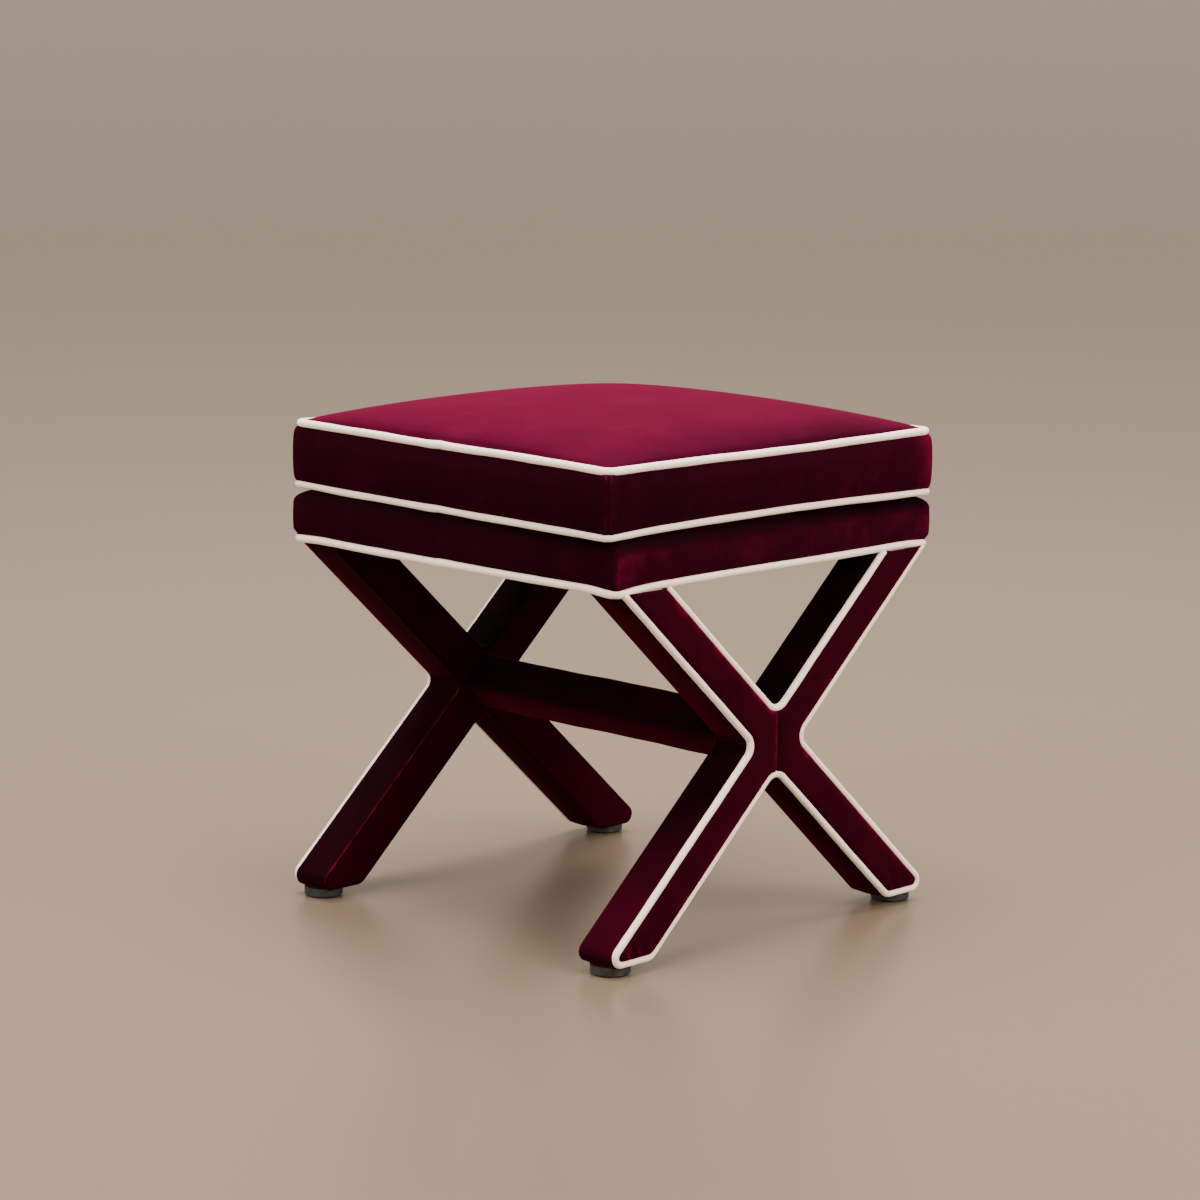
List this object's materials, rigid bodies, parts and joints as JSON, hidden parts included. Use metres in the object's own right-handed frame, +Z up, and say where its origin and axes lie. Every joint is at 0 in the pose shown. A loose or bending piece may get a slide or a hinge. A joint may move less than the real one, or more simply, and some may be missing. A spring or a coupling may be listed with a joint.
{
  "type": "x-frame stool",
  "caption": "Square upholstered stool with a loose crowned cushion on a padded base, X-shaped end frames joined by a bar, contrast piping and round glides.",
  "frame": {"origin": "on the floor, midway between the four glides", "axes": "+X along the bar between the X frames, +Y across each X frame, +Z up"},
  "size_m": [0.47, 0.47, 0.5218],
  "materials": {
    "velvet": "short-pile burgundy velvet",
    "welt": "cream cotton piping",
    "foam": "upholstery foam",
    "wadding": "polyester fibre",
    "hardwood": "sawn beech, unfinished",
    "plywood": "birch plywood",
    "cambric": "black dust cloth",
    "steel": "zinc plated",
    "glide": "black, satin"
  },
  "bodies": {
    "frame": {"base_cover": "velvet", "bar_sleeve": "velvet", "left_x_wrap": "velvet", "left_x_face_front": "velvet", "left_x_face_back": "velvet", "right_x_wrap": "velvet", "right_x_face_front": "velvet", "right_x_face_back": "velvet", "base_welt": "welt", "left_x_welt": "welt", "right_x_welt": "welt", "base_padding": "foam", "bar_padding": "foam", "left_x_padding": "foam", "right_x_padding": "foam", "front_rail": "hardwood", "back_rail": "hardwood", "left_rail": "hardwood", "right_rail": "hardwood", "corner_blocks": "hardwood", "bar_core": "hardwood", "left_leg_rising": "hardwood", "left_leg_falling": "hardwood", "right_leg_rising": "hardwood", "right_leg_falling": "hardwood", "seat_deck": "plywood", "dust_cover": "cambric", "glide_screws": "steel", "rail_screws": "steel", "deck_screws": "steel", "leg_coach_screws": "steel", "bar_bolts": "steel", "bar_nuts": "steel", "glide_left_front": "glide", "glide_left_back": "glide", "glide_right_front": "glide", "glide_right_back": "glide"},
    "cushion": {"cushion_boxing": "velvet", "cushion_top_panel": "velvet", "cushion_bottom_panel": "velvet", "cushion_bottom_welt": "welt", "cushion_top_welt": "welt", "cushion_foam": "foam", "cushion_wadding": "wadding"}
  },
  "joints": [
    {"name": "cushion_lift", "type": "slide", "parent": "frame", "child": "cushion", "axis": [0, 0, 1], "range_m": [0, 0.15]}
  ]
}
